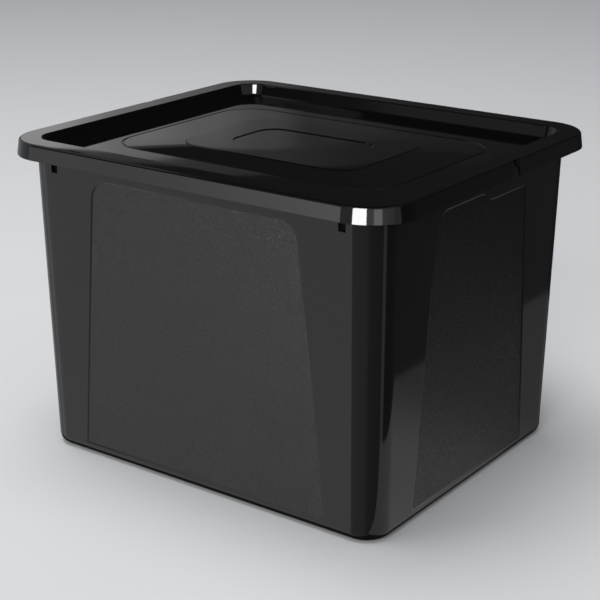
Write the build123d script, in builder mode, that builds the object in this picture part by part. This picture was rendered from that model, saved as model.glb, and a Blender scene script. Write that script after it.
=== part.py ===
from build123d import *
import os
from math import atan2, cos, sin

# Lidded storage box: a tapered tub and a lift-off lid, both injection moulded.
# Millimetres. Origin at the bottom centre, long side along X, front towards -Y, up is +Z.

os.makedirs("parts", exist_ok=True)

# --- Tub ---------------------------------------------------------------------
box_height = 292  # floor to the top of the lid's rim
mouth_length = 372
mouth_width = 320
mouth_corner_radius = 26
end_taper = 4  # how far each end wall leans in, mouth to base
side_taper = 8
base_corner_radius = 24
base_edge_radius = 9
tub_wall = 2.4
tub_floor = 3.4
foot_band = 22  # from the base's outline in to the relieved middle of the underside
foot_relief = 1.2

# --- Tub rim: a flange all round with a turned-down edge, held by gussets ------
flange_thickness = 2.6
flange_edge_height = 6
flange_edge_width = 2.0
gusset_thickness = 2
gusset_height = 8
end_gusset_count = 5
end_gusset_pitch = 56
side_gusset_count = 6
side_gusset_pitch = 58

# --- Grained panels, set into all four walls ------------------------------------
panel_recess = 0.6
panel_bottom = 10
panel_gap = 11.5  # from the skirt's lower edge down to a panel
panel_corner_radius = 19
side_panel_top_margin = 78
side_panel_bottom_margin = 47.5
end_panel_top_margin = 85.5
end_panel_bottom_margin = 57
end_panel_drop = 8  # the rear half of an end panel stops this much lower
end_panel_step_run = 14
end_panel_rear_radius = 6

# --- Lid rim and skirt ----------------------------------------------------------
lid_wall = 2.0
rim_overhang = 15.5  # how far the rim stands out from the tub's mouth
rim_outer_edge_radius = 2.0
rim_inner_edge_radius = 1.0
skirt_height = 14
skirt_flare = 2.0  # how far the skirt spreads on each side, top to bottom
flange_clearance = 1.0
pan_clearance = 0.3  # all round, where the lid's pan enters the tub

# --- Lid recess: a sloping tier above a steep one, down to a flat field -----------
recess_depth = 11
slope_height = 8.3
slope_run = 3.0
wall_run = 1.0

# --- Lid field: a groove, and two embossed rings inside it ------------------------
groove_end_border = 32
groove_side_border = 50
groove_corner_radius = 37
groove_band = 1.8
groove_depth = 0.7
crown_rise = 1.2  # from the groove up to the outer ring
outer_ring_share = 0.645  # of the grooved outline's length and of its width
outer_ring_radius = 24
inner_ring_length_share = 0.422
inner_ring_width_share = 0.339
inner_ring_radius = 19
ring_step = 0.8

# --- Windows in the tub under the skirt, and the lid's tabs behind them -----------
window_inset = 34.5  # from each end of the mouth
window_width = 7
window_height = 12
window_gap = 1.0  # from the skirt's lower edge down to a window
tab_width = 11
tab_thickness = 2.0
tab_overlap = 4.5  # how far a tab reaches below its window
tab_lead_in = 1.2  # chamfer on a tab's outer lower edge
tab_clearance = 0.4

# --- Notch in each end of the skirt, behind the middle -----------------------------
notch_offset = 22
notch_width = 12.5
notch_depth = 4.5
notch_corner_radius = 1.8
notch_flange_clearance = 1.5
flange_slot_depth = 9

# --- Derived -------------------------------------------------------------------------
seat_z = box_height - lid_wall  # the lid's rim rests on the tub here
skirt_bottom_z = box_height - skirt_height
crease_z = box_height - slope_height
field_z = box_height - recess_depth
field_under_z = field_z - lid_wall
plateau_z = field_z + crown_rise + ring_step
base_length = mouth_length - 2 * end_taper
base_width = mouth_width - 2 * side_taper
flange_reach = rim_overhang - lid_wall - flange_clearance
rim_band = rim_overhang + tub_wall + pan_clearance + lid_wall
panel_top = skirt_bottom_z - panel_gap
window_top_z = skirt_bottom_z - window_gap
window_z = window_top_z - window_height / 2
window_spacing = mouth_length - 2 * window_inset
tab_bottom_z = window_top_z - window_height - tab_overlap


def inset(outline, end, side, radius):
    """A rounded outline drawn in by its own amount at the ends and at the sides."""
    length, width, _ = outline
    return length - 2 * end, width - 2 * side, radius


def share_of(outline, length_share, width_share, radius):
    """A rounded outline that takes a share of another one's length and width."""
    length, width, _ = outline
    return length * length_share, width * width_share, radius


def offset_by(outline, amount):
    """A rounded outline moved outwards all round, or inwards where the amount is negative."""
    length, width, radius = outline
    return length + 2 * amount, width + 2 * amount, radius + amount


def tub_outline(height):
    """Length, width and corner radius of the tub's outside at a height."""
    rise = height / seat_z
    return (
        base_length + (mouth_length - base_length) * rise,
        base_width + (mouth_width - base_width) * rise,
        base_corner_radius + (mouth_corner_radius - base_corner_radius) * rise,
    )


rim_outline = offset_by(tub_outline(seat_z), rim_overhang)
skirt_foot = offset_by(rim_outline, skirt_flare)
recess_mouth = offset_by(rim_outline, -rim_band)
recess_crease = offset_by(recess_mouth, -slope_run)
recess_foot = offset_by(recess_crease, -wall_run)
groove_outline = inset(recess_foot, groove_end_border, groove_side_border, groove_corner_radius)
field_outline = offset_by(groove_outline, -groove_band)
outer_ring = share_of(groove_outline, outer_ring_share, outer_ring_share, outer_ring_radius)
inner_ring = share_of(groove_outline, inner_ring_length_share, inner_ring_width_share, inner_ring_radius)

# --- Tub interior, as a form ---------------------------------------------------------
with BuildPart() as cavity:
    with BuildSketch(Plane.XY.offset(tub_floor)):
        RectangleRounded(*offset_by(tub_outline(tub_floor), -tub_wall))
    with BuildSketch(Plane.XY.offset(seat_z)):
        RectangleRounded(*offset_by(tub_outline(seat_z), -tub_wall))
    loft()
    fillet(cavity.edges().group_by(Axis.Z)[0], base_edge_radius - tub_wall)

# --- Panels of the front and back walls, as forms that lie on the drafted walls --------
side_lean = atan2(side_taper, seat_z)
front_wall = Plane(
    origin=(0, -base_width / 2, 0),
    x_dir=(1, 0, 0),
    z_dir=(0, -cos(side_lean), -sin(side_lean)),
)

with BuildPart() as side_panels:
    with BuildSketch(front_wall) as outline:
        with BuildLine():
            Polyline(
                (-base_length / 2 + side_panel_bottom_margin, panel_bottom),
                (base_length / 2 - side_panel_bottom_margin, panel_bottom),
                (mouth_length / 2 - side_panel_top_margin, panel_top),
                (-mouth_length / 2 + side_panel_top_margin, panel_top),
                close=True,
            )
        make_face()
        fillet(outline.vertices().group_by(Axis.Y)[-1], panel_corner_radius)
    extrude(amount=-panel_recess)
    mirror(about=Plane.XZ)

# --- Panels of the end walls: the upper edge steps down behind the middle ---------------
end_lean = atan2(end_taper, seat_z)
right_wall = Plane(
    origin=(base_length / 2, 0, 0),
    x_dir=(0, 1, 0),
    z_dir=(cos(end_lean), 0, -sin(end_lean)),
)

with BuildPart() as end_panels:
    with BuildSketch(right_wall) as outline:
        with BuildLine():
            Polyline(
                (-base_width / 2 + end_panel_bottom_margin, panel_bottom),
                (base_width / 2 - end_panel_bottom_margin, panel_bottom),
                (mouth_width / 2 - end_panel_top_margin, panel_top - end_panel_drop),
                (end_panel_step_run, panel_top - end_panel_drop),
                (0, panel_top),
                (-mouth_width / 2 + end_panel_top_margin, panel_top),
                close=True,
            )
        make_face()
        upper = outline.vertices().filter_by_position(Axis.Y, panel_top / 2, panel_top)
        front_corner = upper.sort_by(Axis.X)[0]
        rear_corner = upper.sort_by(Axis.X)[-1]
        fillet(front_corner, panel_corner_radius)
        fillet(rear_corner, end_panel_rear_radius)
    extrude(amount=-panel_recess)
    mirror(about=Plane.YZ)

# --- Gussets under the flange, as forms on opposite walls ------------------------------------
def gusset_pair(mouth, plane):
    """A thin web on each of two opposite walls, under the flange, in the plane given."""
    reach = mouth / 2 + flange_reach - flange_edge_width / 2
    root = mouth / 2 - tub_wall
    top = seat_z - flange_thickness / 2
    with BuildPart() as webs:
        with BuildSketch(plane):
            with BuildLine():
                Polyline((root, top), (reach, top), (root, top - gusset_height), close=True)
            make_face()
            mirror(about=Plane.YZ)
        extrude(amount=gusset_thickness / 2, both=True)
    return webs.part


end_gussets = gusset_pair(mouth_length, Plane.XZ)
side_gussets = gusset_pair(mouth_width, Plane.YZ)

# --- Tub -------------------------------------------------------------------------------------
with BuildPart() as tub:
    with BuildSketch(Plane.XY):
        RectangleRounded(*tub_outline(0))
    with BuildSketch(Plane.XY.offset(seat_z)):
        RectangleRounded(*tub_outline(seat_z))
    loft()
    fillet(tub.edges().group_by(Axis.Z)[0], base_edge_radius)

    # Flange with a turned-down edge, and the gussets that hold it.
    with BuildSketch(Plane.XY.offset(seat_z - flange_thickness)):
        RectangleRounded(*offset_by(tub_outline(seat_z), flange_reach))
    extrude(amount=flange_thickness)
    with BuildSketch(Plane.XY.offset(seat_z - flange_edge_height)):
        RectangleRounded(*offset_by(tub_outline(seat_z), flange_reach))
        RectangleRounded(
            *offset_by(tub_outline(seat_z), flange_reach - flange_edge_width),
            mode=Mode.SUBTRACT,
        )
    extrude(amount=flange_edge_height)
    with GridLocations(1, end_gusset_pitch, 1, end_gusset_count):
        add(end_gussets)
    with GridLocations(side_gusset_pitch, 1, side_gusset_count, 1):
        add(side_gussets)

    # The flange is open where the skirt has its notch.
    with BuildSketch(Plane.XY.offset(seat_z - flange_edge_height)):
        for end in (1, -1):
            with Locations((end * (mouth_length / 2 + flange_reach), notch_offset)):
                Rectangle(2 * flange_slot_depth, notch_width + 2 * notch_flange_clearance)
    extrude(amount=flange_edge_height, mode=Mode.SUBTRACT)

    add(cavity.part, mode=Mode.SUBTRACT)
    add(side_panels.part, mode=Mode.SUBTRACT)
    add(end_panels.part, mode=Mode.SUBTRACT)

    # Foot ring: the middle of the underside is relieved.
    with BuildSketch(Plane.XY):
        RectangleRounded(*offset_by(tub_outline(0), -foot_band))
    extrude(amount=foot_relief, mode=Mode.SUBTRACT)

    # Windows, through the front and back walls.
    with BuildSketch(Plane.XZ):
        with Locations((0, window_z)):
            with GridLocations(window_spacing, 1, 2, 1):
                Rectangle(window_width, window_height)
    extrude(amount=mouth_width / 2, both=True, mode=Mode.SUBTRACT)

tub.part.label = "tub"

# --- Lid recess and the pan around it, as forms ------------------------------------------------
with BuildPart() as recess:
    with BuildSketch(Plane.XY.offset(field_z)):
        RectangleRounded(*recess_foot)
    with BuildSketch(Plane.XY.offset(crease_z)):
        RectangleRounded(*recess_crease)
    with BuildSketch(Plane.XY.offset(box_height)):
        RectangleRounded(*recess_mouth)
    loft(ruled=True)

with BuildPart() as pan:
    with BuildSketch(Plane.XY.offset(field_under_z)):
        RectangleRounded(*offset_by(recess_foot, lid_wall))
    with BuildSketch(Plane.XY.offset(crease_z)):
        RectangleRounded(*offset_by(recess_crease, lid_wall))
    with BuildSketch(Plane.XY.offset(box_height)):
        RectangleRounded(*offset_by(recess_mouth, lid_wall))
    loft(ruled=True)

# --- Crown of the lid's field, as a form that also hollows the underside ------------------------
with BuildPart() as crown:
    with BuildSketch(Plane.XY.offset(field_z)):
        RectangleRounded(*field_outline)
    with BuildSketch(Plane.XY.offset(field_z + crown_rise)):
        RectangleRounded(*outer_ring)
    with BuildSketch(Plane.XY.offset(plateau_z)):
        RectangleRounded(*offset_by(outer_ring, -ring_step))
    loft(ruled=True)
    with BuildSketch(Plane.XY.offset(plateau_z)):
        RectangleRounded(*inner_ring)
    with BuildSketch(Plane.XY.offset(plateau_z - ring_step)):
        RectangleRounded(*offset_by(inner_ring, -ring_step))
    loft(mode=Mode.SUBTRACT)

# --- Lid ---------------------------------------------------------------------------------------
with BuildPart() as lid:
    with BuildSketch(Plane.XY.offset(skirt_bottom_z)):
        RectangleRounded(*skirt_foot)
    with BuildSketch(Plane.XY.offset(box_height)):
        RectangleRounded(*rim_outline)
    loft()
    fillet(lid.edges().group_by(Axis.Z)[-1], rim_outer_edge_radius)

    # Everything inside the skirt and under the rim is open, apart from the pan.
    with BuildSketch(Plane.XY.offset(skirt_bottom_z)):
        RectangleRounded(*offset_by(skirt_foot, -lid_wall))
    with BuildSketch(Plane.XY.offset(seat_z)):
        RectangleRounded(*offset_by(rim_outline, -lid_wall))
    loft(mode=Mode.SUBTRACT)
    add(pan.part)
    add(recess.part, mode=Mode.SUBTRACT)
    rim_top = lid.faces().sort_by(Axis.Z)[-1]
    fillet(rim_top.inner_wires()[0].edges(), rim_inner_edge_radius)

    # Groove round the field, and the crowned field with its rings.
    with BuildSketch(Plane.XY.offset(field_z)):
        RectangleRounded(*groove_outline)
        RectangleRounded(*field_outline, mode=Mode.SUBTRACT)
    extrude(amount=-groove_depth, mode=Mode.SUBTRACT)
    add(crown.part)
    with Locations((0, 0, -lid_wall)):
        add(crown.part, mode=Mode.SUBTRACT)

    # Locating tabs behind the tub's windows.
    tab_face = tub_outline(tab_bottom_z)[1] / 2 - tub_wall - tab_clearance
    with BuildSketch(Plane.XY.offset(tab_bottom_z)):
        with GridLocations(window_spacing, 2 * tab_face - tab_thickness, 2, 2):
            Rectangle(tab_width, tab_thickness)
    extrude(amount=seat_z - tab_bottom_z)
    tab_feet = lid.edges().group_by(Axis.Z)[0].filter_by(Axis.X).sort_by(Axis.Y)
    chamfer(tab_feet[:2] + tab_feet[-2:], tab_lead_in)

    # Notch in each end of the skirt.
    with BuildSketch(Plane.XY.offset(skirt_bottom_z)):
        for end in (1, -1):
            with Locations((end * skirt_foot[0] / 2, notch_offset)):
                RectangleRounded(2 * notch_depth, notch_width, notch_corner_radius)
    extrude(amount=skirt_height, mode=Mode.SUBTRACT)

lid.part.label = "lid"

export_step(tub.part, "parts/tub.step")
export_step(lid.part, "parts/lid.step")
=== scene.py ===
import logging
import math
from collections.abc import Callable, Mapping, Sequence
from dataclasses import astuple, dataclass, field, replace
from enum import Enum

import bmesh
import bpy
from bpy.types import Material, Node, NodeSocket, NodeTree, Object
from mathutils import Matrix, Vector


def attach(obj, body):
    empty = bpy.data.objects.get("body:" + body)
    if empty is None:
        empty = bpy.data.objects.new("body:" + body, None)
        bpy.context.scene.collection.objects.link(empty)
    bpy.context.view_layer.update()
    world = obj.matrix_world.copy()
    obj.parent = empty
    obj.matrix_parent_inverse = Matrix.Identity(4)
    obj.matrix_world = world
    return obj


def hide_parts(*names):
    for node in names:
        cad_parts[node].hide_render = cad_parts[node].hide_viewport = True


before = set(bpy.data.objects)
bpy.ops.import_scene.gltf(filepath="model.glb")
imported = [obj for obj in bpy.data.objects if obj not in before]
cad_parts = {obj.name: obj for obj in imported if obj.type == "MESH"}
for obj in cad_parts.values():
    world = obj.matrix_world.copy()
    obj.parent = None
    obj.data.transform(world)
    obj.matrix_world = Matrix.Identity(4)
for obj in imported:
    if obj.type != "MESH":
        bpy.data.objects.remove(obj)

# Lidded storage box in glossy black plastic. Metres, +Z up, origin at the bottom centre,
# long side along X, front towards -Y. The sizes below repeat those of the solid model.

log = logging.getLogger("storage_box")

Point = tuple[float, float, float]
Flat = tuple[float, float]
Tones = Sequence[tuple[float, float]]
Feed = NodeSocket | float | Sequence[float]

SNAP = 4e-6  # how near a vertex lies to the ring or corner that it belongs to
TOWER_FOOT = 1.0  # where the lowest ring waits before it is slid to its own height
TOWER_STEP = 0.05  # from one waiting ring up to the next
EVEN_PROFILE = 0.5  # a round bevel
FLATS_WEIGHT = 50  # how strongly a large face keeps its own normal
SMOOTH_ANGLE = math.radians(40)  # edges sharper than this stay sharp
NOISE_MIDDLE = 0.5  # what a noise pattern swings about


class Body(Enum):
    """The bodies that pieces ride on."""

    TUB = "tub"
    LID = "lid"


class Join(Enum):
    """How one solid is combined with another."""

    ADD = "UNION"
    CUT = "DIFFERENCE"


class Wall(Enum):
    """The four walls of the tub, by the angle that turns the front wall to each."""

    FRONT = 0
    RIGHT = 90
    BACK = 180
    LEFT = 270

    @property
    def is_end(self) -> bool:
        """Says whether this is one of the two short walls."""
        return self in (Wall.RIGHT, Wall.LEFT)


# --- Shapes -----------------------------------------------------------------------------


def turned(degrees: float) -> Matrix:
    """Returns a turn about the vertical axis."""
    return Matrix.Rotation(math.radians(degrees), 4, "Z")


@dataclass(frozen=True)
class Rounding:
    """How an edge is rounded.

    Args:
        radius: Its radius, or 0 for a sharp edge.
        steps: Segments in it.
    """

    radius: float = 0.0
    steps: int = 0


# How sharp the mould leaves an edge, from the sharpest on.
SHARP = Rounding()
FAINT = Rounding(0.00025, 2)
CRISP = Rounding(0.0003, 2)
FINE = Rounding(0.0004, 2)
SLIM = Rounding(0.0005, 2)
SOFT = Rounding(0.0006, 2)
FULL = Rounding(0.0006, 3)


@dataclass(frozen=True)
class Outline:
    """A rounded rectangle round the vertical axis.

    Args:
        length: Its size along X.
        width: Its size along Y.
        radius: Its corner radius.
    """

    length: float
    width: float
    radius: float

    def grown(self, amount: float) -> "Outline":
        """Returns the outline moved outwards all round, or inwards where amount is negative."""
        return Outline(self.length + 2 * amount, self.width + 2 * amount, self.radius + amount)

    def drawn_in(self, end: float, side: float, radius: float) -> "Outline":
        """Returns the outline drawn in by its own amount at the ends and at the sides."""
        return Outline(self.length - 2 * end, self.width - 2 * side, radius)

    def share(self, shares: Flat, radius: float) -> "Outline":
        """Returns an outline that takes a share of this one's length and width."""
        return Outline(self.length * shares[0], self.width * shares[1], radius)

    def towards(self, other: "Outline", share: float) -> "Outline":
        """Returns the outline that lies some share of the way to another."""
        pairs = zip(astuple(self), astuple(other))
        return Outline(*(here + (there - here) * share for here, there in pairs))

    def distance(self, x: float, y: float) -> float:
        """Measures how far a point lies outside the outline.

        Args:
            x: The point's X.
            y: The point's Y.

        Returns:
            The distance, below zero inside the outline.
        """
        dx = abs(x) - self.length / 2 + self.radius
        dy = abs(y) - self.width / 2 + self.radius
        outside = math.hypot(max(dx, 0), max(dy, 0))
        return outside + min(max(dx, dy), 0) - self.radius


@dataclass(frozen=True)
class Ring:
    """An outline at a height.

    Args:
        outline: The rounded rectangle.
        height: Its height.
        edge: How the finished edge along it is rounded.
    """

    outline: Outline
    height: float
    edge: Rounding = SHARP

    def holds(self, point: Vector) -> bool:
        """Says whether a point lies on the ring."""
        level = abs(point.z - self.height) < SNAP
        return level and abs(self.outline.distance(point.x, point.y)) < SNAP


class Bench:
    """Handwork on one mesh at a time, with nothing else selected."""

    @staticmethod
    def close() -> None:
        """Leaves edit mode."""
        bpy.ops.object.mode_set(mode="OBJECT")

    @classmethod
    def clear(cls) -> None:
        """Leaves edit mode and deselects every object."""
        if bpy.context.object and bpy.context.object.mode != "OBJECT":
            cls.close()
        bpy.ops.object.select_all(action="DESELECT")

    @staticmethod
    def pick_all() -> None:
        """Selects the whole of the open piece."""
        bpy.ops.mesh.select_all(action="SELECT")

    @staticmethod
    def pick_none() -> None:
        """Deselects the whole of the open piece."""
        bpy.ops.mesh.select_all(action="DESELECT")

    @classmethod
    def face_out(cls) -> None:
        """Turns every face of the open piece outwards."""
        cls.pick_all()
        bpy.ops.mesh.normals_make_consistent(inside=False)

    @staticmethod
    def settle() -> None:
        """Bakes the place, turn and scale of the active piece into its mesh."""
        bpy.ops.object.transform_apply(location=True, rotation=True, scale=True)

    @staticmethod
    def bevel(edge: Rounding, affect: str = "EDGES", clamp: bool = False) -> None:
        """Rounds what is selected in the open piece.

        Args:
            edge: The rounding.
            affect: EDGES or VERTICES.
            clamp: Whether it stops where two roundings meet.
        """
        bpy.ops.mesh.bevel(
            offset=edge.radius,
            offset_type="OFFSET",
            segments=edge.steps,
            affect=affect,
            profile=EVEN_PROFILE,
            clamp_overlap=clamp,
        )

    @classmethod
    def take(cls, piece: Object) -> None:
        """Makes a piece the only selected one.

        Args:
            piece: The piece.
        """
        cls.clear()
        piece.select_set(True)
        bpy.context.view_layer.objects.active = piece

    @classmethod
    def edit(cls, piece: Object, mode: str = "VERT") -> None:
        """Opens a piece in edit mode with nothing selected.

        Args:
            piece: The piece to open.
            mode: VERT, EDGE or FACE.
        """
        cls.take(piece)
        bpy.ops.object.mode_set(mode="EDIT")
        bpy.ops.mesh.select_mode(type=mode)
        cls.pick_none()

    @staticmethod
    def pick_verts(piece: Object, test: Callable[[Vector], bool]) -> None:
        """Adds vertices of the open piece to the selection.

        Args:
            piece: The open piece.
            test: Says by its place whether a vertex is wanted.
        """
        mesh = bmesh.from_edit_mesh(piece.data)
        for vert in mesh.verts:
            if test(vert.co):
                vert.select = True
        mesh.select_flush_mode()
        bmesh.update_edit_mesh(piece.data)

    @staticmethod
    def pick_edges(piece: Object, test: Callable[[Vector, Vector], bool]) -> None:
        """Adds edges of the open piece to the selection.

        Args:
            piece: The open piece.
            test: Says by the places of its two ends whether an edge is wanted.
        """
        mesh = bmesh.from_edit_mesh(piece.data)
        for edge in mesh.edges:
            if test(edge.verts[0].co, edge.verts[1].co):
                edge.select = True
        bmesh.update_edit_mesh(piece.data)

    @classmethod
    def pick_ring(cls, piece: Object, ring: Ring) -> None:
        """Adds the edges that lie along a ring to the selection."""
        cls.pick_edges(piece, lambda a, b: ring.holds(a) and ring.holds(b))

    @classmethod
    def sheet(cls, ring: Ring, corner_steps: int, keep_face: bool) -> Object:
        """Makes one ring from a plane whose four corners are rounded.

        Args:
            ring: Where the ring lies.
            corner_steps: Segments in each corner.
            keep_face: Whether the plane's face stays, as a cap.

        Returns:
            The new object.
        """
        cls.clear()
        bpy.ops.mesh.primitive_plane_add(size=1, location=(0, 0, ring.height))
        piece = bpy.context.object
        piece.scale = (ring.outline.length, ring.outline.width, 1)
        cls.settle()
        bpy.ops.object.mode_set(mode="EDIT")
        cls.pick_all()
        cls.bevel(Rounding(ring.outline.radius, corner_steps), "VERTICES")
        if not keep_face:
            cls.pick_all()
            bpy.ops.mesh.delete(type="ONLY_FACE")
        cls.close()
        return piece

    @classmethod
    def join(cls, pieces: Sequence[Object]) -> Object:
        """Joins pieces into the first of them.

        Args:
            pieces: The pieces.

        Returns:
            The first piece, which now holds them all.
        """
        cls.clear()
        for piece in pieces:
            piece.select_set(True)
        bpy.context.view_layer.objects.active = pieces[0]
        if len(pieces) > 1:
            bpy.ops.object.join()
        return pieces[0]

    @classmethod
    def skin(cls, name: str, rings: Sequence[Ring], corner_steps: int) -> Object:
        """Bridges a row of rings into one closed skin, and rounds the edges that ask for it.

        The rings are first made far apart, one above the other, so that each bridge is plain,
        and are then slid to their own heights.

        Args:
            name: The piece's name.
            rings: The rings in order. The first and the last keep their faces as caps.
            corner_steps: Segments in each corner.

        Returns:
            The finished skin.
        """
        last = len(rings) - 1
        tower = [replace(ring, height=TOWER_FOOT + TOWER_STEP * i) for i, ring in enumerate(rings)]
        sheets = [cls.sheet(ring, corner_steps, i in (0, last)) for i, ring in enumerate(tower)]
        piece = cls.join(sheets)
        piece.name = name
        piece.data.name = name
        cls.edit(piece, "EDGE")
        for first, second in zip(tower, tower[1:]):
            cls.pick_none()
            cls.pick_ring(piece, first)
            cls.pick_ring(piece, second)
            bpy.ops.mesh.bridge_edge_loops()
        bpy.ops.mesh.select_mode(type="VERT")
        for high, ring in zip(tower, rings):
            cls.pick_none()
            cls.pick_verts(piece, high.holds)
            bpy.ops.transform.translate(value=(0, 0, ring.height - high.height))
        cls.face_out()
        for ring in rings:
            if ring.edge.radius:
                bpy.ops.mesh.select_mode(type="EDGE")
                cls.pick_none()
                cls.pick_ring(piece, ring)
                cls.bevel(ring.edge)
        cls.face_out()
        cls.close()
        return piece

    @classmethod
    def block(cls, low: Sequence[float], high: Sequence[float], edge: Rounding = SHARP) -> Object:
        """Makes a block between two corners.

        Args:
            low: Its lowest corner.
            high: Its highest corner.
            edge: The rounding of its upright edges.

        Returns:
            The new object.
        """
        cls.clear()
        bpy.ops.mesh.primitive_cube_add(size=1, location=(Vector(low) + Vector(high)) / 2)
        piece = bpy.context.object
        piece.scale = Vector(high) - Vector(low)
        cls.settle()
        if edge.radius:
            cls.edit(piece, "EDGE")
            cls.pick_edges(piece, lambda a, b: abs(a.x - b.x) < SNAP and abs(a.y - b.y) < SNAP)
            cls.bevel(edge)
            cls.close()
        return piece

    @classmethod
    def copy(cls, piece: Object, move: Matrix) -> Object:
        """Makes a copy with a mesh of its own, moved and turned.

        Args:
            piece: What is copied.
            move: Where the copy goes.

        Returns:
            The copy, with its place baked into its mesh.
        """
        cls.clear()
        twin = piece.copy()
        twin.data = piece.data.copy()
        bpy.context.scene.collection.objects.link(twin)
        twin.matrix_world = move
        cls.take(twin)
        cls.settle()
        return twin

    @classmethod
    def combine(cls, piece: Object, tools: Sequence[Object], how: Join) -> None:
        """Adds solids to a piece, or cuts them out of it, and removes them.

        Args:
            piece: The piece that is changed.
            tools: The closed solids that are added or cut.
            how: Whether they are added or cut.
        """
        tool = cls.join(tools)
        modifier = piece.modifiers.new(how.value, "BOOLEAN")
        modifier.operation = how.value
        modifier.solver = "EXACT"
        modifier.object = tool
        cls.take(piece)
        bpy.ops.object.modifier_apply(modifier=modifier.name)
        bpy.data.objects.remove(tool)

    @classmethod
    def end_pair(
        cls, reach: float, depth: float, across: Flat, heights: Flat, edge: Rounding = SHARP
    ) -> list[Object]:
        """Makes the same block at each end of the box.

        Args:
            reach: How far from the middle of the box its own middle lies.
            depth: Half its size along X.
            across: Where it begins and ends along Y.
            heights: Where it begins and ends along Z.
            edge: The rounding of its upright edges.

        Returns:
            The right block and the left one.
        """
        (front, back), (low, high) = across, heights
        return [
            cls.block((middle - depth, front, low), (middle + depth, back, high), edge)
            for middle in (reach, -reach)
        ]

    @staticmethod
    def coat(piece: Object, finishes: Sequence[Material]) -> None:
        """Gives a piece its finishes in place of any that it has.

        Args:
            piece: The piece.
            finishes: The materials, in the order of their slots.
        """
        piece.data.materials.clear()
        for finish in finishes:
            piece.data.materials.append(finish)

    @classmethod
    def smooth(cls, piece: Object) -> None:
        """Shades a piece smooth where its faces meet gently, with its flats kept flat.

        Args:
            piece: The piece.
        """
        cls.take(piece)
        bpy.ops.object.shade_smooth_by_angle(angle=SMOOTH_ANGLE)
        modifier = piece.modifiers.new("flats", "WEIGHTED_NORMAL")
        modifier.mode = "FACE_AREA"
        modifier.weight = FLATS_WEIGHT
        modifier.keep_sharp = True
        bpy.ops.object.modifier_apply(modifier=modifier.name)


# --- Finishes -----------------------------------------------------------------------------


@dataclass(frozen=True)
class Graph:
    """Short ways to build a node tree.

    Args:
        tree: The tree that is built.
    """

    tree: NodeTree

    @classmethod
    def material(cls, name: str) -> tuple[Material, "Graph"]:
        """Makes a material with nodes.

        Args:
            name: The material's name.

        Returns:
            The material and its graph.
        """
        material = bpy.data.materials.new(name)
        material.use_nodes = True
        return material, cls(material.node_tree)

    @property
    def shader(self) -> Node:
        """Returns the material's own Principled shader."""
        return self.tree.nodes["Principled BSDF"]

    def feed(self, node: Node, feeds: Mapping[str | int, Feed]) -> None:
        """Feeds a node's inputs.

        Args:
            node: The node.
            feeds: What goes into each input, by name or number: a socket or a constant.
        """
        for name, value in feeds.items():
            if isinstance(value, NodeSocket):
                self.tree.links.new(value, node.inputs[name])
            else:
                node.inputs[name].default_value = value

    def node(self, kind: str, feeds: Mapping[str | int, Feed], **settings: object) -> Node:
        """Adds a node.

        Args:
            kind: The node's type.
            feeds: What goes into its inputs.
            settings: The node's own settings.

        Returns:
            The new node.
        """
        node = self.tree.nodes.new(kind)
        for name, value in settings.items():
            setattr(node, name, value)
        self.feed(node, feeds)
        return node

    def place(self, output: str) -> NodeSocket:
        """Returns the coordinates of one kind, Object or UV."""
        return self.node("ShaderNodeTexCoord", {}).outputs[output]

    def maths(self, operation: str, first: Feed, second: Feed) -> NodeSocket:
        """Returns the result of a Math node on two sockets or numbers."""
        return self.node("ShaderNodeMath", {0: first, 1: second}, operation=operation).outputs[0]

    def noise(self, vector: Feed, scale: Feed, detail: float, rough: float = 0.5) -> NodeSocket:
        """Returns the value of a noise pattern of a given scale per metre."""
        feeds = {"Scale": scale, "Detail": detail, "Roughness": rough, "Vector": vector}
        return self.node("ShaderNodeTexNoise", feeds).outputs["Fac"]

    def tint(self, share: Feed, first: Point, second: Point) -> NodeSocket:
        """Returns a blend of two colours, led by a share."""
        feeds = {"A": (*first, 1), "B": (*second, 1), "Factor": share}
        return self.node("ShaderNodeMix", feeds, data_type="RGBA").outputs["Result"]

    def bump(self, height: Feed, distance: float) -> NodeSocket:
        """Returns the normal of a relief that is so many metres high."""
        feeds = {"Strength": 1.0, "Distance": distance, "Height": height}
        return self.node("ShaderNodeBump", feeds).outputs["Normal"]


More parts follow.
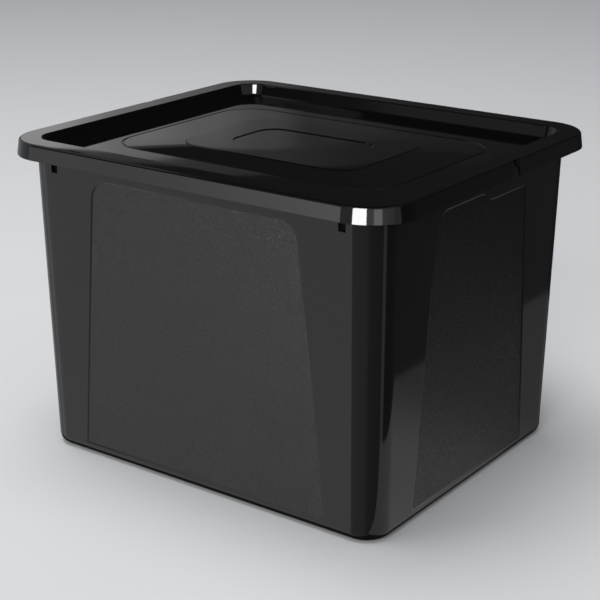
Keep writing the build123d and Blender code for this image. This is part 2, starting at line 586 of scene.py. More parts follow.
class Effects:
    """Node groups that more than one finish uses, each built once."""

    @staticmethod
    def start(
        name: str, inputs: Mapping[str, float], outputs: Sequence[str]
    ) -> tuple[Graph, Node, Node]:
        """Makes an empty group that reads a place and some numbers.

        Args:
            name: The group's name.
            inputs: Name and default of each number that it reads.
            outputs: Name of each number that it puts out.

        Returns:
            The group's graph, its input node and its output node.
        """
        tree = bpy.data.node_groups.new(name, "ShaderNodeTree")
        tree.interface.new_socket("Vector", in_out="INPUT", socket_type="NodeSocketVector")
        for label, default in inputs.items():
            socket = tree.interface.new_socket(label, in_out="INPUT", socket_type="NodeSocketFloat")
            socket.default_value = default
        for label in outputs:
            tree.interface.new_socket(label, in_out="OUTPUT", socket_type="NodeSocketFloat")
        graph = Graph(tree)
        return graph, graph.node("NodeGroupInput", {}), graph.node("NodeGroupOutput", {})

    @classmethod
    def handling(cls) -> NodeTree:
        """Builds the marks of handling: uneven polish and fine hairlines.

        Returns:
            The group, which puts out a roughness and a mask of the hairlines.
        """
        cloud_scale, speck_scale, speck_depth = 14.0, 220.0, 0.02
        streak_scale, streak_turn = (9.0, 420.0, 420.0), (0.3, 0.15, 0.5)
        line_level = 0.71
        graph, given, made = cls.start(
            "handling_marks",
            {"Polish": 0.08, "Unevenness": 0.03, "Hairlines": 0.05},
            ("Roughness", "Lines"),
        )
        vector = given.outputs["Vector"]
        clouds = graph.noise(vector, cloud_scale, detail=4.0, rough=0.6)
        specks = graph.noise(vector, speck_scale, detail=3.0, rough=0.6)
        uneven = graph.maths("SUBTRACT", clouds, NOISE_MIDDLE)
        uneven = graph.maths("MULTIPLY", uneven, given.outputs["Unevenness"])
        stretch = {"Scale": streak_scale, "Rotation": streak_turn, "Vector": vector}
        stretched = graph.node("ShaderNodeMapping", stretch).outputs["Vector"]
        streaks = graph.noise(stretched, 1.0, detail=2.0)
        lines = graph.maths("GREATER_THAN", streaks, line_level)
        faint = graph.maths("MULTIPLY", lines, clouds)
        scratched = graph.maths("MULTIPLY", faint, given.outputs["Hairlines"])
        fine = graph.maths("SUBTRACT", specks, NOISE_MIDDLE)
        fine = graph.maths("MULTIPLY", fine, speck_depth)
        total = graph.maths("ADD", given.outputs["Polish"], uneven)
        total = graph.maths("ADD", total, scratched)
        graph.feed(made, {"Roughness": graph.maths("ADD", total, fine), "Lines": faint})
        return graph.tree

    @classmethod
    def flow(cls) -> NodeTree:
        """Builds the slow waviness that a moulded wall keeps as it shrinks.

        Returns:
            The group, which puts out a height.
        """
        graph, given, made = cls.start("mould_flow", {"Scale": 9.0}, ("Height",))
        waves = graph.noise(
            given.outputs["Vector"], given.outputs["Scale"], detail=1.5, rough=0.35
        )
        graph.feed(made, {"Height": waves})
        return graph.tree

    @classmethod
    def pebbles(cls) -> NodeTree:
        """Builds the pebbled grain: low rounded islands with creases between them.

        Returns:
            The group, which puts out a height and a mask of the creases.
        """
        wander_scale, wander_reach = 260.0, (0.0022, 0.0022, 0.0022)
        shore, swell_scale, swell_height = 0.32, 150.0, 0.9
        graph, given, made = cls.start("pebble_grain", {"Pitch": 520.0}, ("Height", "Crease"))
        vector = given.outputs["Vector"]
        wander = {"Scale": wander_scale, "Detail": 2.0, "Vector": vector}
        colours = graph.node("ShaderNodeTexNoise", wander).outputs["Color"]
        push = {0: colours, 1: wander_reach, 2: vector}
        pushed = graph.node("ShaderNodeVectorMath", push, operation="MULTIPLY_ADD").outputs[0]
        cells = graph.node(
            "ShaderNodeTexVoronoi",
            {"Vector": pushed, "Scale": given.outputs["Pitch"]},
            feature="DISTANCE_TO_EDGE",
        )
        island = graph.node(
            "ShaderNodeMapRange",
            {"From Min": 0.0, "From Max": shore, "Value": cells.outputs["Distance"]},
            interpolation_type="SMOOTHSTEP",
        ).outputs["Result"]
        swell = graph.noise(vector, swell_scale, detail=3.0, rough=0.6)
        swell = graph.maths("MULTIPLY", swell, swell_height)
        crease = graph.maths("SUBTRACT", 1.0, island)
        graph.feed(made, {"Height": graph.maths("ADD", island, swell), "Crease": crease})
        return graph.tree


@dataclass(frozen=True)
class Plastic:
    """What every finish of the black polypropylene shares.

    Args:
        name: The material's name.
        colour: Base colour, linear.
        polish: Roughness of a clean part.
        index: How strongly it refracts.
    """

    name: str
    colour: Point
    polish: float
    index: float = field(default=1.49, kw_only=True)

    def worn(
        self, graph: Graph, groups: Mapping[str, NodeTree], unevenness: float, hairlines: float
    ) -> Node:
        """Adds the marks of handling to a finish.

        Args:
            graph: The finish's graph.
            groups: The shared effects.
            unevenness: How far the roughness wanders.
            hairlines: How much rougher a hairline is.

        Returns:
            The node that puts them out.
        """
        feeds = {
            "Vector": graph.place("Object"),
            "Polish": self.polish,
            "Unevenness": unevenness,
            "Hairlines": hairlines,
        }
        return graph.node("ShaderNodeGroup", feeds, node_tree=groups["handling"])


@dataclass(frozen=True)
class GlossPlastic(Plastic):
    """Polished black polypropylene.

    Args:
        unevenness: How far the roughness wanders.
        hairlines: How much rougher a hairline is.
        waviness: Height of the moulding's slow waves, in metres.
        wave_scale: Waves per metre.
        shine: Strength of its reflections; 0.5 is the plain plastic's.
    """

    unevenness: float
    hairlines: float
    waviness: float
    wave_scale: float
    shine: float = 0.5

    def make(self, groups: Mapping[str, NodeTree]) -> Material:
        """Builds the material.

        Args:
            groups: The shared effects.

        Returns:
            The material.
        """
        scuff_gain, scuff_lift = 2.6, 0.004
        material, graph = Graph.material(self.name)
        marks = self.worn(graph, groups, self.unevenness, self.hairlines)
        scuffed = tuple(scuff_gain * part + scuff_lift for part in self.colour)
        flow = {"Vector": graph.place("Object"), "Scale": self.wave_scale}
        waves = graph.node("ShaderNodeGroup", flow, node_tree=groups["flow"])
        graph.feed(graph.shader, {
            "IOR": self.index,
            "Specular IOR Level": self.shine,
            "Roughness": marks.outputs["Roughness"],
            "Base Color": graph.tint(marks.outputs["Lines"], self.colour, scuffed),
            "Normal": graph.bump(waves.outputs["Height"], self.waviness),
        })
        return material


@dataclass(frozen=True)
class GrainedPlastic(Plastic):
    """Black polypropylene with a pebbled grain, as on the wall panels.

    Args:
        crease_shade_colour: Base colour in the creases.
        crease_gain: How much rougher the creases are.
        pitch: Pebbles per metre.
        relief: Height of the grain, in metres.
        unevenness: How far the roughness wanders.
    """

    crease_shade_colour: Point
    # crease_shade_colour: Base colour in the creases, darker than the pebbles' tops as painted
    # shade.
    crease_gain: float
    pitch: float
    relief: float
    unevenness: float = 0.06

    def make(self, groups: Mapping[str, NodeTree]) -> Material:
        """Builds the material.

        Args:
            groups: The shared effects.

        Returns:
            The material.
        """
        material, graph = Graph.material(self.name)
        pattern = {"Vector": graph.place("Object"), "Pitch": self.pitch}
        grain = graph.node("ShaderNodeGroup", pattern, node_tree=groups["pebbles"])
        crease = grain.outputs["Crease"]
        marks = self.worn(graph, groups, self.unevenness, 0.0)
        extra = graph.maths("MULTIPLY", crease, self.crease_gain)
        graph.feed(graph.shader, {
            "IOR": self.index,
            "Roughness": graph.maths("ADD", marks.outputs["Roughness"], extra),
            # The creases take a darker base colour: painted shade in the grain.
            "Base Color": graph.tint(crease, self.colour, self.crease_shade_colour),
            "Normal": graph.bump(grain.outputs["Height"], self.relief),
        })
        return material


# --- Tub ------------------------------------------------------------------------------------


@dataclass(frozen=True)
class Corner:
    """A corner of a panel's outline, measured on the face of its wall.

    Args:
        along: Its place along the wall.
        up: Its place up the wall.
        cut: How far from it its rounding begins, or 0 for a sharp corner.
    """

    along: float
    up: float
    cut: float = 0.0

    def meets(self, point: Vector) -> bool:
        """Says whether a point lies on the corner."""
        return abs(point.x - self.along) < SNAP and abs(point.y - self.up) < SNAP


@dataclass(frozen=True)
class PanelForm:
    """The form that sinks a panel into a wall: a plate with sloping sides.

    Args:
        corners: The outline's corners, in order.
        step: Width of the slope round the panel.
        recess: Depth of the panel.
        proud: How far the form stands out of the wall.
        lip: How far its sides draw in on their way to the wall.
        slope: Shares of the step's width and depth, from the wall down.
        corner_steps: Segments in each rounded corner.
    """

    corners: Sequence[Corner]
    step: float
    recess: float
    proud: float = 0.0006
    lip: float = 0.0002
    slope: Sequence[Flat] = ((0.3, 0.15), (0.4, 0.7), (0.3, 0.15))
    corner_steps: int = 12

    def outline(self) -> Object:
        """Makes the outline as one face, with its corners rounded, the widest first.

        Returns:
            The form, left open in edit mode.
        """
        Bench.clear()
        bpy.ops.mesh.primitive_circle_add(
            vertices=len(self.corners), fill_type="NGON", location=(0, 0, self.proud)
        )
        form = bpy.context.object
        Bench.settle()
        Bench.edit(form)
        mesh = bmesh.from_edit_mesh(form.data)
        for loop, corner in zip(mesh.faces[:][0].loops, self.corners):
            loop.vert.co = (corner.along, corner.up, self.proud)
        bmesh.update_edit_mesh(form.data)
        for corner in sorted(self.corners, key=lambda corner: corner.cut, reverse=True):
            if corner.cut:
                Bench.pick_none()
                Bench.pick_verts(form, corner.meets)
                Bench.bevel(Rounding(corner.cut, self.corner_steps), "VERTICES")
        return form

    def make(self) -> Object:
        """Makes the closed form, flat, with the wall's face at Z = 0.

        Returns:
            The form, ready to be laid on a wall.
        """
        form = self.outline()
        Bench.face_out()
        mesh = bmesh.from_edit_mesh(form.data)
        if mesh.faces[:][0].normal.z <= 0:
            bpy.ops.mesh.flip_normals()
        bpy.ops.mesh.select_mode(type="FACE")
        Bench.pick_all()
        bpy.ops.mesh.inset(thickness=self.lip, depth=-self.proud)
        for run, fall in self.slope:
            bpy.ops.mesh.inset(thickness=self.step * run, depth=-self.recess * fall)
        bpy.ops.mesh.select_mode(type="EDGE")
        Bench.pick_none()
        bpy.ops.mesh.select_non_manifold()
        bpy.ops.mesh.edge_face_add()
        Bench.face_out()
        Bench.close()
        return form


@dataclass
class Tub:
    """The tapered tub: shell, flange with gussets, grained panels, windows and foot ring."""

    seat: float = 0.290
    mouth: Outline = Outline(0.372, 0.320, 0.026)
    base: Outline = Outline(0.364, 0.304, 0.024)
    base_edge: Rounding = Rounding(0.009, 10)
    inside_steps: int = 6  # segments in the rounding where wall and floor meet inside
    wall: float = 0.0024
    floor: float = 0.0034
    foot_band: float = 0.022
    foot_relief: float = 0.0012
    flange_reach: float = 0.0125
    flange_thickness: float = 0.0026
    flange_edge_height: float = 0.006
    flange_edge_width: float = 0.002
    gusset_thickness: float = 0.002
    gusset_height: float = 0.008
    end_gussets: int = 5
    end_gusset_pitch: float = 0.056
    side_gussets: int = 6
    side_gusset_pitch: float = 0.058
    panel_recess: float = 0.0006
    panel_step: float = 0.0017
    panel_bottom: float = 0.010
    panel_top: float = 0.2665
    side_panel_foot: float = 0.1345  # half its width at the bottom
    side_panel_head: float = 0.108
    side_panel_corner: float = 0.0171
    end_panel_foot: float = 0.095
    end_panel_head: float = 0.0745
    end_panel_drop: float = 0.008  # how far its top edge steps down at the rear
    end_panel_drop_run: float = 0.014
    end_panel_front_corner: float = 0.0176
    end_panel_rear_corner: float = 0.0055
    end_panel_drop_corner: float = 0.0035
    window_spacing: float = 0.303
    window_width: float = 0.007
    window_depth: float = 0.0096
    window_bottom: float = 0.265
    window_top: float = 0.277
    slot_offset: float = 0.022
    slot_width: float = 0.0155
    slot_depth: float = 0.009
    slot_spare: float = 0.001
    corner_steps: int = 24
    squareness: float = 0.99999  # how squarely a panel's floor faces out of its wall
    evenness: float = 5e-5  # how near it lies to its depth
    finishes: dict[str, Material] = field(default_factory=dict)

    def outline(self, height: float) -> Outline:
        """Returns the outside outline of the wall at a height."""
        return self.base.towards(self.mouth, height / self.seat)

    def shell(self) -> Object:
        """Makes the wall, floor, flange and foot ring as one closed skin.

        Returns:
            The shell.
        """
        under = self.seat - self.flange_thickness
        lip = self.seat - self.flange_edge_height
        edge = self.mouth.grown(self.flange_reach)
        hollow = self.base.grown(-self.foot_band)
        inside_edge = Rounding(self.base_edge.radius - self.wall, self.inside_steps)
        rings = [
            Ring(hollow, self.foot_relief),
            Ring(hollow, 0.0, FINE),
            Ring(self.base, 0.0, self.base_edge),
            Ring(self.outline(under), under, SOFT),
            Ring(edge.grown(-self.flange_edge_width), under, FINE),
            Ring(edge.grown(-self.flange_edge_width), lip, CRISP),
            Ring(edge, lip, CRISP),
            Ring(edge, self.seat, FULL),
            Ring(self.mouth.grown(-self.wall), self.seat, FULL),
            Ring(self.outline(self.floor).grown(-self.wall), self.floor, inside_edge),
        ]
        return Bench.skin("tub_shell", rings, self.corner_steps)

    def gussets(self) -> list[Object]:
        """Makes the webs under the flange: one is modelled for each pair of walls and copied.

        Returns:
            The webs.
        """
        webs = []
        half = self.gusset_thickness / 2
        top = self.seat - self.flange_thickness / 2
        rows = (
            (self.mouth.length, self.end_gussets, self.end_gusset_pitch, (0, 180)),
            (self.mouth.width, self.side_gussets, self.side_gusset_pitch, (90, 270)),
        )
        for span, count, pitch, turns in rows:
            root = span / 2 - self.wall / 2
            reach = span / 2 + self.flange_reach - self.flange_edge_width / 2
            web = Bench.block((root, -half, top - self.gusset_height), (reach, half, top))
            Bench.edit(web)
            Bench.pick_verts(web, lambda p: p.x > reach - SNAP and p.z < top - SNAP)
            bpy.ops.transform.translate(value=(0, 0, self.gusset_height - self.flange_thickness))
            Bench.close()
            for turn in turns:
                for index in range(count):
                    along = (index - (count - 1) / 2) * pitch
                    webs.append(Bench.copy(web, turned(turn) @ Matrix.Translation((0, along, 0))))
            bpy.data.objects.remove(web)
        return webs

    def wall_place(self, wall: Wall) -> Matrix:
        """Finds the place of a wall: X along it, Y up it and Z outwards, from its foot.

        Args:
            wall: The wall.

        Returns:
            The place.
        """
        low, high = self.base.width / 2, self.mouth.width / 2
        if wall.is_end:
            low, high = self.base.length / 2, self.mouth.length / 2
        lean = math.atan2(high - low, self.seat)
        tilt = Matrix.Rotation(math.pi / 2 + lean, 4, "X")
        return turned(wall.value) @ Matrix.Translation((0, -low, 0)) @ tilt

    def side_panel(self) -> Object:
        """Makes the form of a long wall's panel.

        Returns:
            The form, flat.
        """
        corners = (
            Corner(-self.side_panel_foot, self.panel_bottom),
            Corner(self.side_panel_foot, self.panel_bottom),
            Corner(self.side_panel_head, self.panel_top, self.side_panel_corner),
            Corner(-self.side_panel_head, self.panel_top, self.side_panel_corner),
        )
        return PanelForm(corners, self.panel_step, self.panel_recess).make()

    def end_panel(self) -> Object:
        """Makes the form of an end wall's panel, with its top edge stepped down at the rear.

        Returns:
            The form, flat.
        """
        low = self.panel_top - self.end_panel_drop
        corners = (
            Corner(-self.end_panel_foot, self.panel_bottom),
            Corner(self.end_panel_foot, self.panel_bottom),
            Corner(self.end_panel_head, low, self.end_panel_rear_corner),
            Corner(self.end_panel_drop_run, low, self.end_panel_drop_corner),
            Corner(0.0, self.panel_top, self.end_panel_drop_corner),
            Corner(-self.end_panel_head, self.panel_top, self.end_panel_front_corner),
        )
        return PanelForm(corners, self.panel_step, self.panel_recess).make()

    def panels(self) -> list[Object]:
        """Lays a panel's form on each wall. The left end's is the right end's, mirrored.

        Returns:
            The four forms.
        """
        forms = []
        side, end = self.side_panel(), self.end_panel()
        for wall in Wall:
            mirror = Matrix.Diagonal((-1 if wall is Wall.LEFT else 1, 1, 1, 1))
            form = Bench.copy(end if wall.is_end else side, self.wall_place(wall) @ mirror)
            if wall is Wall.LEFT:
                Bench.edit(form)
                Bench.face_out()
                Bench.close()
            forms.append(form)
        bpy.data.objects.remove(side)
        bpy.data.objects.remove(end)
        return forms

    def windows(self) -> list[Object]:
        """Makes the four forms that are cut through the long walls for the lid's tabs.

        Returns:
            The forms.
        """
        forms = []
        half = self.window_width / 2
        out = self.mouth.width / 2
        deep = out - self.window_depth
        for centre in (-self.window_spacing / 2, self.window_spacing / 2):
            for near, far in ((-out, -deep), (deep, out)):
                low = (centre - half, near, self.window_bottom)
                forms.append(Bench.block(low, (centre + half, far, self.window_top)))
        return forms

    def slots(self) -> list[Object]:
        """Makes the two forms that are cut through the flange under the lid's notches.

        Returns:
            The forms.
        """
        half = self.slot_width / 2
        return Bench.end_pair(
            self.mouth.length / 2 + self.flange_reach,
            self.slot_depth,
            (self.slot_offset - half, self.slot_offset + half),
            (self.seat - self.flange_edge_height - self.slot_spare, self.seat + self.slot_spare),
        )

    def dress(self, piece: Object) -> None:
        """Gives the shell its gloss finish and the panels' floors their grain.

        Args:
            piece: The tub.
        """
        Bench.coat(piece, (self.finishes["gloss"], self.finishes["grain"]))
        places = [self.wall_place(wall).inverted() for wall in Wall]
        for face in piece.data.polygons:
            grained = any(
                (place.to_3x3() @ face.normal).z > self.squareness
                and abs((place @ face.center).z + self.panel_recess) < self.evenness
                for place in places
            )
            face.material_index = int(grained)

    def build(self) -> Object:
        """Models the tub, dresses it and lets it stand for its solid.

        Returns:
            The tub.
        """
        piece = self.shell()
        Bench.combine(piece, self.gussets(), Join.ADD)
        Bench.combine(piece, [*self.panels(), *self.windows(), *self.slots()], Join.CUT)
        self.dress(piece)
        Bench.smooth(piece)
        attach(piece, Body.TUB.value)
        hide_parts("tub")
        return piece


# --- Lid ------------------------------------------------------------------------------------


@dataclass
class Lid:
    """The lift-off lid: skirt, flat rim, two-tier recess, groove and embossed rings."""

    top: float = 0.292
    wall: float = 0.002
    rim: Outline = Outline(0.403, 0.351, 0.0415)
    rim_edge: Rounding = Rounding(0.002, 6)
    skirt_height: float = 0.014
    skirt_flare: float = 0.002
    rim_band: float = 0.0202
    mouth_edge: Rounding = Rounding(0.001, 4)
    slope_height: float = 0.0083
    slope_run: float = 0.003
    crease_edge: Rounding = Rounding(0.0009, 3)
    wall_run: float = 0.001
    foot_edge: Rounding = Rounding(0.001, 4)
    foot_underside: Rounding = Rounding(0.0008, 3)
    recess_depth: float = 0.011
    groove_end: float = 0.032
    groove_side: float = 0.050
    groove_radius: float = 0.037
    groove_band: float = 0.0018
    groove_floor: Flat = (0.75, 0.25)  # where its floor begins and ends, as shares of the band
    groove_depth: float = 0.0007
    crown_rise: float = 0.0012
    ring_step: float = 0.0008
    outer_share: Flat = (0.645, 0.645)  # of the groove's length and width
    outer_radius: float = 0.024
    inner_share: Flat = (0.422, 0.339)
    inner_radius: float = 0.019
    tab_spacing: float = 0.303
    tab_width: float = 0.011
    tab_thickness: float = 0.002
    tab_face: float = 0.15639
    tab_bottom: float = 0.2605
    tab_lead_in: Rounding = Rounding(0.0012, 1)
    notch_offset: float = 0.022
    notch_width: float = 0.0125
    notch_depth: float = 0.0045
    notch_spare: float = 0.002
    notch_corner: Rounding = Rounding(0.0018, 6)
    notch_edge: Rounding = CRISP
    notch_edge_angle: float = math.radians(50)
    corner_steps: int = 24
    finishes: dict[str, Material] = field(default_factory=dict)

    def shell(self) -> Object:
        """Makes the lid's top and underside as one closed skin, from the middle out and back.

        Returns:
            The shell.
        """
        foot_z = self.top - self.skirt_height
        crease_z = self.top - self.slope_height
        field_z = self.top - self.recess_depth
        crown_z = field_z + self.crown_rise
        plateau_z = crown_z + self.ring_step
        groove_z = field_z - self.groove_depth
        skirt = self.rim.grown(self.skirt_flare)
        mouth = self.rim.grown(-self.rim_band)
        crease = mouth.grown(-self.slope_run)
        foot = crease.grown(-self.wall_run)
        groove = foot.drawn_in(self.groove_end, self.groove_side, self.groove_radius)
        crown = groove.grown(-self.groove_band)
        outer = groove.share(self.outer_share, self.outer_radius)
        inner = groove.share(self.inner_share, self.inner_radius)
        wall = self.wall
        seat = self.top - wall
        climb = (seat - crease_z) / self.slope_height * self.slope_run
        rings = [
            Ring(inner.grown(-self.ring_step), crown_z, FINE),
            Ring(inner, plateau_z, FINE),
            Ring(outer.grown(-self.ring_step), plateau_z, FINE),
            Ring(outer, crown_z, FINE),
            Ring(crown, field_z, FAINT),
            *(Ring(groove.grown(-self.groove_band * part), groove_z) for part in self.groove_floor),
            Ring(groove, field_z, FAINT),
            Ring(foot, field_z, self.foot_edge),
            Ring(crease, crease_z, self.crease_edge),
            Ring(mouth, self.top, self.mouth_edge),
            Ring(self.rim, self.top, self.rim_edge),
            Ring(skirt, foot_z, SLIM),
            Ring(skirt.grown(-wall), foot_z, SLIM),
            Ring(self.rim.grown(-wall), seat, SOFT),
            Ring(crease.grown(wall + climb), seat, SOFT),
            Ring(crease.grown(wall), crease_z),
            Ring(foot.grown(wall), field_z - wall, self.foot_underside),
            Ring(crown, field_z - wall),
            Ring(outer, crown_z - wall),
            Ring(outer.grown(-self.ring_step), plateau_z - wall),
            Ring(inner, plateau_z - wall),
            Ring(inner.grown(-self.ring_step), crown_z - wall),
        ]
        return Bench.skin("lid_shell", rings, self.corner_steps)

    def tabs(self) -> list[Object]:
        """Makes the four locating tabs that hang behind the tub's windows.

        Returns:
            The tabs.
        """
        half = self.tab_width / 2
        back = self.tab_face - self.tab_thickness
        high = (half, self.tab_face, self.top - self.wall / 2)
        tab = Bench.block((-half, back, self.tab_bottom), high)
        Bench.edit(tab, "EDGE")
        Bench.pick_edges(
            tab,
            lambda a, b: min(a.y, b.y) > self.tab_face - SNAP
            and max(a.z, b.z) < self.tab_bottom + SNAP,
        )
        Bench.bevel(self.tab_lead_in)
        Bench.close()
        made = [
            Bench.copy(tab, turned(turn) @ Matrix.Translation((along, 0, 0)))
            for turn in (0, 180)
            for along in (-self.tab_spacing / 2, self.tab_spacing / 2)
        ]
        bpy.data.objects.remove(tab)
        return made

    def notches(self) -> list[Object]:
        """Makes the rounded forms that are cut from each end of the skirt.

        Returns:
            The two forms.
        """
        half = self.notch_width / 2
        return Bench.end_pair(
            self.rim.length / 2 + self.skirt_flare,
            self.notch_depth,
            (self.notch_offset - half, self.notch_offset + half),
            (self.top - self.skirt_height - self.notch_spare, self.top + self.notch_spare),
            self.notch_corner,
        )

    def by_notch(self, point: Vector) -> bool:
        """Says whether a point lies in one of the two notches.

        Args:
            point: The point.

        Returns:
            Whether it does.
        """
        inner = self.rim.length / 2 + self.skirt_flare - self.notch_depth
        return (
            abs(point.x) > inner - SNAP
            and abs(point.y - self.notch_offset) < self.notch_width / 2 + SNAP
            and point.z > self.top - self.skirt_height + self.notch_edge.radius
        )

    def soften_notches(self, piece: Object) -> None:
        """Rounds the cut edges of the two notches slightly, so that they catch the light.

        Args:
            piece: The lid.
        """
        Bench.edit(piece, "EDGE")
        mesh = bmesh.from_edit_mesh(piece.data)
        for edge in mesh.edges:
            sharp = len(edge.link_faces) == 2 and edge.calc_face_angle() >= self.notch_edge_angle
            if sharp and all(self.by_notch(vert.co) for vert in edge.verts):
                edge.select = True
        bmesh.update_edit_mesh(piece.data)
        Bench.bevel(self.notch_edge, clamp=True)
        Bench.close()

    def dress(self, piece: Object) -> None:
        """Gives the lid its gloss finish and its tabs a darker, duller one with weaker reflections:
        painted shade for the pockets behind the tub's windows.

        Args:
            piece: The lid.
        """
        Bench.coat(piece, (self.finishes["lid"], self.finishes["tab"]))
        below = self.top - self.skirt_height
        for face in piece.data.polygons:
            on_tab = face.center.z < below and abs(face.center.y) < self.tab_face + SNAP
            face.material_index = int(on_tab)

    def build(self) -> Object:
        """Models the lid, dresses it and lets it stand for its solid.

        Returns:
            The lid.
        """
        piece = self.shell()
        Bench.combine(piece, self.tabs(), Join.ADD)
        Bench.combine(piece, self.notches(), Join.CUT)
        self.soften_notches(piece)
        self.dress(piece)
        Bench.smooth(piece)
        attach(piece, Body.LID.value)
        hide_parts("lid")
        return piece


# --- Studio -----------------------------------------------------------------------------------


@dataclass(frozen=True)
class SoftBox:
    """A rectangular studio light aimed at a point. Polished surfaces don't mirror it.

    Args:
        name: The light's name.
        place: Where it hangs.
        aim: What it points at.
        size: Width and height.
        power: Its power in watts.
    """

    name: str
    place: Point
    aim: Point
    size: Flat
    power: float

    def hang(self) -> None:
        """Makes the light and hides it from the camera and from reflections."""
        data = bpy.data.lights.new(self.name, "AREA")
        data.shape = "RECTANGLE"
        data.size, data.size_y = self.size
        data.energy = self.power
        light = bpy.data.objects.new(self.name, data)
        bpy.context.scene.collection.objects.link(light)
        light.location = self.place
        gaze = Vector(self.aim) - Vector(self.place)
        light.rotation_euler = gaze.to_track_quat("-Z", "Y").to_euler()
        light.visible_camera = False
        light.visible_glossy = False


@dataclass(frozen=True)
class ReflectorCard:
    """A card that only the gloss sees, shaded from one side to the other.

    Args:
        name: The card's name.
        corners: Its corners, two along its lower edge and then two back along its upper edge.
        tones: Places along the card from 0 to 1, each with its brightness.
        cloud_scale: Clouds over the card's length.
        cloud_depth: How far they change its brightness.
    """

    name: str
    corners: Sequence[Point]
    tones: Tones
    cloud_scale: float = 5.0
    cloud_depth: float = 0.1

    @classmethod
    def upright(
        cls, name: str, start: Flat, stop: Flat, heights: Flat, tones: Tones
    ) -> "ReflectorCard":
        """Describes a card that stands on the line from start to stop, between two heights."""
        low, high = heights
        return cls(name, ((*start, low), (*stop, low), (*stop, high), (*start, high)), tones)

    @classmethod
    def lying(
        cls, name: str, low: Flat, high: Flat, height: float, tones: Tones
    ) -> "ReflectorCard":
        """Describes a level card between its front left corner and its back right one."""
        rim = (low, (high[0], low[1]), high, (low[0], high[1]))
        return cls(name, [(*corner, height) for corner in rim], tones)

    def shade(self) -> Material:
        """Makes the card's glow, faintly clouded so that it isn't one flat tone.

        Returns:
            The material.
        """
        material, graph = Graph.material(self.name)
        graph.tree.nodes.remove(graph.shader)
        place = graph.place("UV")
        split = graph.node("ShaderNodeSeparateXYZ", {0: place})
        brightest = max(tone for _, tone in self.tones)
        ramp = graph.node("ShaderNodeValToRGB", {"Fac": split.outputs["X"]})
        ramp.color_ramp.interpolation = "EASE"
        stops = ramp.color_ramp.elements
        ready = len(stops)
        for index, (along, tone) in enumerate(self.tones):
            stop = stops[index] if index < ready else stops.new(along)
            stop.position = along
            stop.color = (*([tone / brightest] * 3), 1)
        clouds = graph.noise(place, self.cloud_scale, detail=2.0)
        swing = graph.maths("MULTIPLY", clouds, self.cloud_depth)
        dim = graph.maths("ADD", swing, 1 - self.cloud_depth / 2)
        strength = graph.maths("MULTIPLY", dim, brightest)
        feeds = {"Color": ramp.outputs["Color"], "Strength": strength}
        glow = graph.node("ShaderNodeEmission", feeds)
        graph.feed(graph.tree.nodes["Material Output"], {"Surface": glow.outputs[0]})
        return material

    def stand(self) -> None:
        """Makes the card and hides it from everything but reflections."""
        Bench.clear()
        bpy.ops.mesh.primitive_plane_add(size=2)
        card = bpy.context.object
        card.name = self.name
        Bench.edit(card)
        flat = ((-1, -1, 0), (1, -1, 0), (1, 1, 0), (-1, 1, 0))
        for here, there in zip(map(Vector, flat), map(Vector, self.corners)):
            Bench.pick_none()
            Bench.pick_verts(card, lambda p: (p - here).length < SNAP)
            bpy.ops.transform.translate(value=there - here)
        Bench.clear()
        card.data.materials.append(self.shade())
        card.visible_camera = False
        card.visible_diffuse = False
        card.visible_shadow = False
        card.visible_transmission = False


def even(tone: float) -> Tones:
    """Returns the tones of a card that is equally bright all along."""
    return ((0.0, tone), (1.0, tone))


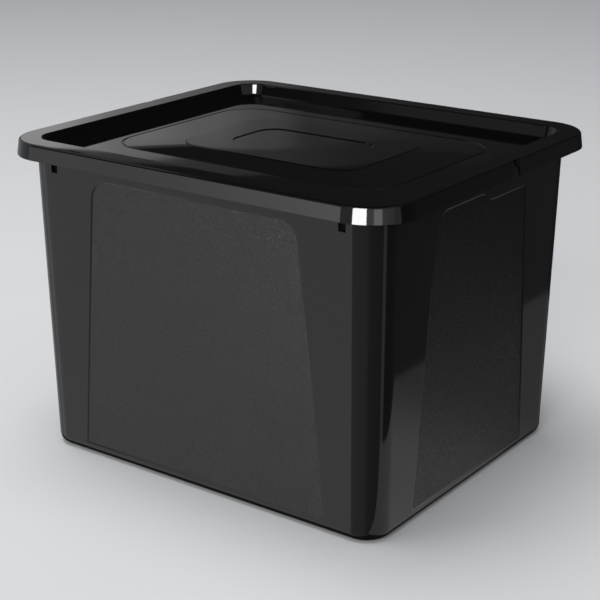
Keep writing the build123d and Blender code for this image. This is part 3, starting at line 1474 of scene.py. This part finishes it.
@dataclass
class Studio:
    """The pale floor, the soft light, the reflector cards and the camera."""

    floor_size: float = 14.0
    floor_colour: Point = (0.55, 0.555, 0.56)
    floor_mottle: float = 0.98  # the darker tone, as a share of the lighter
    floor_mottle_scale: float = 6.0
    floor_roughness: float = 0.55
    ambient: float = 0.45
    ambient_colour: Point = (0.93, 0.95, 1.0)
    camera_place: Point = (0.7753, -1.0817, 0.5976)
    camera_yaw: float = 0.634
    camera_pitch: float = 0.335
    camera_lens: float = 91.5
    camera_sensor: float = 36.0
    camera_shift: float = 0.0262
    camera_reach: Flat = (0.05, 50.0)

    def lay_floor(self) -> None:
        """Lays the plain floor, with a faint mottle so that it isn't one flat colour."""
        Bench.clear()
        bpy.ops.mesh.primitive_plane_add(size=self.floor_size, location=(0, 0, 0))
        floor = bpy.context.object
        floor.name = "studio_floor"
        material, graph = Graph.material("pale_floor")
        mottle = graph.noise(graph.place("Object"), self.floor_mottle_scale, detail=2.0)
        darker = tuple(self.floor_mottle * part for part in self.floor_colour)
        graph.feed(graph.shader, {
            "Roughness": self.floor_roughness,
            "Specular IOR Level": 0.0,
            "Base Color": graph.tint(mottle, self.floor_colour, darker),
        })
        floor.data.materials.append(material)
        floor.visible_glossy = False

    def light(self) -> None:
        """Sets the room's even light and hangs the soft boxes."""
        world = bpy.data.worlds.new("studio_room")
        world.use_nodes = True
        room = world.node_tree.nodes["Background"]
        feeds = {"Color": (*self.ambient_colour, 1), "Strength": self.ambient}
        Graph(world.node_tree).feed(room, feeds)
        bpy.context.scene.world = world
        boxes = (
            SoftBox("window_box", (1.2, -4.3, 1.9), (0.0, 0.0, 0.2), size=(1.9, 2.4), power=110.0),
            SoftBox("high_box", (-0.5, -0.3, 3.0), (0.0, 0.0, 0.0), size=(2.0, 2.0), power=75.0),
        )
        for box in boxes:
            box.hang()

    @staticmethod
    def cards() -> list[ReflectorCard]:
        """Lists the cards whose reflections model the gloss, bright at the left and front.

        Returns:
            The cards.
        """
        upright, lying = ReflectorCard.upright, ReflectorCard.lying
        return [
            # The dark back wall, and the two sloping strips that the lid's field mirrors.
            upright("back_card", (-1.3, 0.52), (1.5, 0.52), (-0.3, 1.4),
                    ((0.0, 0.008), (0.6, 0.03), (1.0, 0.06))),
            ReflectorCard(
                "back_strip_card",
                ((-1.06, 0.5, 0.525), (0.1, 0.5, 0.214), (0.1, 0.5, 0.341), (-1.06, 0.5, 0.573)),
                ((0.0, 0.90), (0.20, 0.80), (0.34, 0.42), (0.46, 0.27), (0.56, 0.15),
                 (0.62, 0.07), (0.8, 0.035), (1.0, 0.03)),
            ),
            ReflectorCard(
                "back_upper_card",
                ((-0.78, 0.505, 0.517), (0.1, 0.505, 0.341), (0.1, 0.505, 0.375),
                 (-0.74, 0.505, 0.538)),
                ((0.0, 0.12), (0.2, 0.09), (0.4, 0.08), (0.6, 0.04), (1.0, 0.02)),
            ),
            # Close to the box: under it, at its right end and over it.
            lying("shadow_card", (-0.185, -0.155), (0.185, 0.155), -0.001, even(0.03)),
            upright("right_card", (0.36, -0.125), (0.36, 1.15), (0.0, 0.45),
                    ((0.0, 0.05), (0.3, 0.06), (1.0, 0.10))),
            ReflectorCard(
                "right_floor_card",
                ((0.36, -0.16, 0.0), (0.36, 1.15, 0.0), (0.186, 1.15, 0.0), (0.186, -0.16, 0.0)),
                ((0.0, 0.60), (0.12, 0.48), (0.26, 0.20), (1.0, 0.14)),
            ),
            lying("ceiling_card", (-0.9, -0.7), (0.9, 0.51), 1.38, even(0.02)),
            # At the front left, one above the other.
            upright("left_card", (-2.4, -1.7), (-1.05, -2.35), (-0.15, 0.42),
                    ((0.0, 0.9), (0.5, 1.0), (1.0, 1.9))),
            upright("left_floor_card", (-2.9, -0.9), (-1.05, -2.3), (-2.6, -0.15),
                    ((0.0, 0.85), (0.5, 0.74), (1.0, 0.78))),
            upright("left_high_card", (-2.4, -1.7), (-0.6, -2.3), (0.42, 0.8), even(0.01)),
            upright("left_top_card", (-2.4, -1.7), (-0.6, -2.3), (0.8, 2.9),
                    ((0.0, 0.02), (0.36, 0.05), (0.44, 0.08), (0.54, 0.26), (1.0, 0.28))),
            # At the front and the front right, with the bright window among them.
            upright("front_floor_card", (-1.0, -2.35), (1.9, -2.0), (-2.6, 0.02),
                    ((0.0, 0.34), (0.6, 0.30), (1.0, 0.15))),
            upright("corner_card", (1.9, -2.0), (2.2, -0.36), (-2.6, 0.02),
                    ((0.0, 0.15), (1.0, 0.12))),
            upright("window_card", (0.092, -2.28), (1.126, -2.07), (0.05, 1.75), even(25.0)),
            upright("accent_card", (1.08, -1.94), (2.16, -0.36), (0.1, 0.6),
                    ((0.0, 1.0), (0.25, 1.0), (0.29, 2.6), (0.53, 2.6), (0.57, 0.75), (1.0, 0.6))),
        ]

    def stand_cards(self) -> None:
        """Stands every reflector card."""
        for card in self.cards():
            card.stand()

    def aim_camera(self) -> None:
        """Places the camera and makes it the scene's."""
        data = bpy.data.cameras.new("studio_camera")
        data.lens = self.camera_lens
        data.sensor_width = self.camera_sensor
        data.shift_x = self.camera_shift
        data.clip_start, data.clip_end = self.camera_reach
        camera = bpy.data.objects.new("studio_camera", data)
        bpy.context.scene.collection.objects.link(camera)
        camera.location = self.camera_place
        camera.rotation_euler = (math.pi / 2 - self.camera_pitch, 0.0, self.camera_yaw)
        bpy.context.scene.camera = camera


def main() -> None:
    """Builds the box and its studio."""
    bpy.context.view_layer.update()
    bpy.context.scene.view_settings.view_transform = "Standard"
    groups = {"handling": Effects.handling(), "flow": Effects.flow(), "pebbles": Effects.pebbles()}
    gloss = GlossPlastic(
        "tub_gloss_black", (0.0040, 0.0040, 0.0042), polish=0.07,
        unevenness=0.05, hairlines=0.10, waviness=0.0002, wave_scale=7.0,
    )
    # The grain's darker crease colour is painted shade in the creases.
    grain = GrainedPlastic(
        "panel_grain_black", (0.0075, 0.0075, 0.0078), polish=0.22,
        crease_shade_colour=(0.002, 0.002, 0.002), crease_gain=0.3, pitch=520.0, relief=0.00014,
    )
    lid = GlossPlastic(
        "lid_gloss_black", (0.0018, 0.0018, 0.0019), polish=0.045,
        unevenness=0.02, hairlines=0.08, waviness=0.0002, wave_scale=11.0,
    )
    # The tabs are darker than the lid, with their reflections turned down: painted shade for the
    # shadowed pockets behind the tub's windows.
    tab = GlossPlastic(
        "lid_tab_black", (0.0012, 0.0012, 0.0012), polish=0.65,
        unevenness=0.1, hairlines=0.05, waviness=0.0001, wave_scale=30.0, shine=0.04,
    )
    parts = (
        Tub(finishes={"gloss": gloss.make(groups), "grain": grain.make(groups)}),
        Lid(finishes={"lid": lid.make(groups), "tab": tab.make(groups)}),
    )
    for part in parts:
        piece = part.build()
        log.info("%s: %d faces", piece.name, len(piece.data.polygons))
    studio = Studio()
    studio.lay_floor()
    studio.light()
    studio.stand_cards()
    studio.aim_camera()


if __name__ == "__main__":
    logging.basicConfig(level=logging.INFO, format="%(name)s: %(message)s")
    main()
